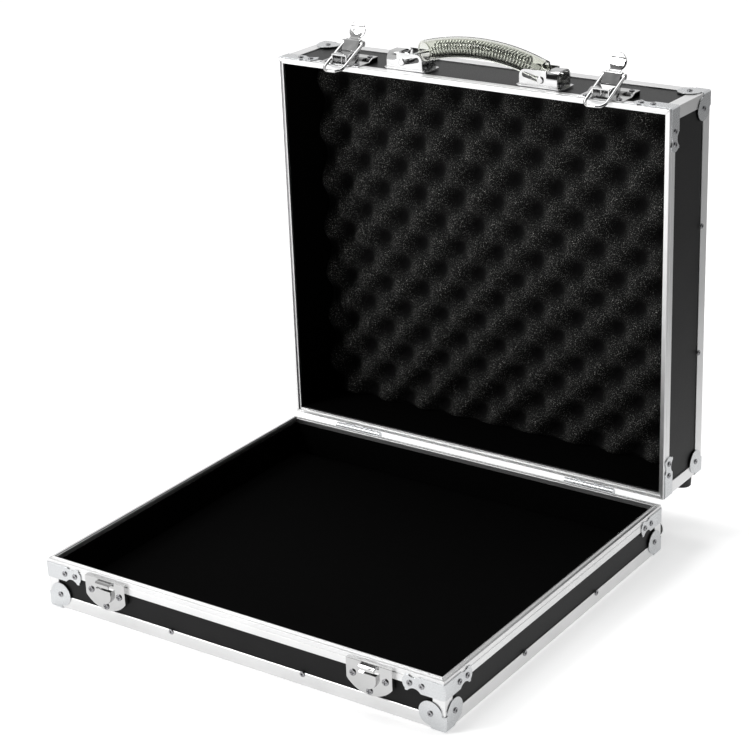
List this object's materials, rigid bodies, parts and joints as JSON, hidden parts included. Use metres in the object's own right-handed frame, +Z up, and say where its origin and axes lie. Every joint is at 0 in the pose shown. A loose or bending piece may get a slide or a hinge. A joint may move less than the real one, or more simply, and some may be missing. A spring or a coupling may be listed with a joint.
{
  "type": "attache case",
  "caption": "Hard attache case: black laminate panels in satin aluminium extrusions, deep foam-lined lid, shallow tray, draw latches and a sprung carrying handle.",
  "frame": {"origin": "centre of the bounding box at the ground, with the case open at a right angle", "axes": "+X to the right along the hinge line, +Y to the back, towards the lid's outer panel, +Z up"},
  "size_m": [0.454, 0.4926, 0.487],
  "materials": {
    "black_laminate": "fine-grained satin laminate",
    "aluminium": "satin",
    "zinc_plate": "satin zinc",
    "bright_plate": "bright nickel",
    "black_felt": "matt felt",
    "black_foam": "matt open-cell foam",
    "rubber": "matt",
    "clear_tube": "glossy clear vinyl",
    "spring_steel": "satin"
  },
  "bodies": {
    "tray": {"tray_base_panel": "black_laminate", "tray_front_wall": "black_laminate", "tray_back_wall": "black_laminate", "tray_left_wall": "black_laminate", "tray_right_wall": "black_laminate", "tray_edge_angles": "aluminium", "tray_corner_posts": "aluminium", "tray_rim": "aluminium", "tray_rim_braces": "zinc_plate", "tray_ball_corners": "zinc_plate", "tray_rivets": "zinc_plate", "tray_wall_lining": "black_felt", "tray_foam_pad": "black_felt", "tray_rubber_feet": "rubber", "tray_foot_screws": "zinc_plate", "tray_hinge_leaf_left": "zinc_plate", "tray_hinge_leaf_right": "zinc_plate", "hinge_pins": "zinc_plate", "tray_hinge_screws": "zinc_plate", "latch_keeper_left": "bright_plate", "latch_keeper_right": "bright_plate", "keeper_screws": "bright_plate"},
    "lid": {"lid_base_panel": "black_laminate", "lid_hinge_wall": "black_laminate", "lid_latch_wall": "black_laminate", "lid_left_wall": "black_laminate", "lid_right_wall": "black_laminate", "lid_edge_angles": "aluminium", "lid_corner_posts": "aluminium", "lid_rim": "aluminium", "lid_rim_braces": "zinc_plate", "lid_ball_corners": "zinc_plate", "lid_rivets": "zinc_plate", "lid_wall_lining": "black_felt", "lid_foam_block": "black_foam", "lid_rubber_feet": "rubber", "lid_foot_screws": "zinc_plate", "lid_hinge_leaf_left": "zinc_plate", "lid_hinge_leaf_right": "zinc_plate", "lid_hinge_screws": "zinc_plate", "latch_base_left": "bright_plate", "latch_base_right": "bright_plate", "latch_lever_pins": "bright_plate", "handle_bracket_left": "bright_plate", "handle_bracket_right": "bright_plate", "latch_wall_rivets": "bright_plate"},
    "latch_lever_left": {"latch_lever_left": "bright_plate"},
    "latch_bail_left": {"latch_bail_left": "bright_plate", "latch_bail_pin_left": "bright_plate"},
    "latch_lever_right": {"latch_lever_right": "bright_plate"},
    "latch_bail_right": {"latch_bail_right": "bright_plate", "latch_bail_pin_right": "bright_plate"},
    "handle_end_left": {"handle_strap_end_left": "bright_plate", "handle_end_pin_left": "bright_plate"},
    "handle_grip": {"handle_tube": "clear_tube", "handle_spring": "spring_steel", "handle_strap": "spring_steel"},
    "handle_end_right": {"handle_strap_end_right": "bright_plate", "handle_end_pin_right": "bright_plate"}
  },
  "joints": [
    {"name": "lid_hinge", "type": "hinge", "parent": "tray", "child": "lid", "pos_m": [0, 0.16025, 0.05], "axis": [1, 0, 0], "range_deg": [0, 90]},
    {"name": "lever_left", "type": "hinge", "parent": "lid", "child": "latch_lever_left", "pos_m": [-0.15, 0.18425, 0.455], "axis": [-1, 0, 0], "range_deg": [0, 50]},
    {"name": "bail_left", "type": "hinge", "parent": "latch_lever_left", "child": "latch_bail_left", "pos_m": [-0.15, 0.19114, 0.46554], "axis": [-1, 0, 0], "range_deg": [0, 26.5]},
    {"name": "lever_right", "type": "hinge", "parent": "lid", "child": "latch_lever_right", "pos_m": [0.15, 0.18425, 0.455], "axis": [-1, 0, 0], "range_deg": [0, 50]},
    {"name": "bail_right", "type": "hinge", "parent": "latch_lever_right", "child": "latch_bail_right", "pos_m": [0.15, 0.19114, 0.46554], "axis": [-1, 0, 0], "range_deg": [0, 26.5]},
    {"name": "handle_end_left", "type": "slide", "parent": "lid", "child": "handle_end_left", "axis": [0.9781, 0, 0.2079], "range_m": [0, 0.016]},
    {"name": "handle_lift", "type": "slide", "parent": "handle_end_left", "child": "handle_grip", "axis": [-0.6036, 0, 0.7973], "range_m": [0, 0.026]},
    {"name": "handle_end_right", "type": "slide", "parent": "handle_grip", "child": "handle_end_right", "axis": [-0.6036, 0, -0.7973], "range_m": [0, 0.026]}
  ],
  "couplings": [
    {"joint": "bail_left", "follows": "lid_hinge", "ratio": 0.2889},
    {"joint": "bail_right", "follows": "lid_hinge", "ratio": 0.2889},
    {"joint": "handle_lift", "follows": "handle_end_left", "ratio": 1.6206},
    {"joint": "handle_end_right", "follows": "handle_end_left", "ratio": 1.6206}
  ]
}
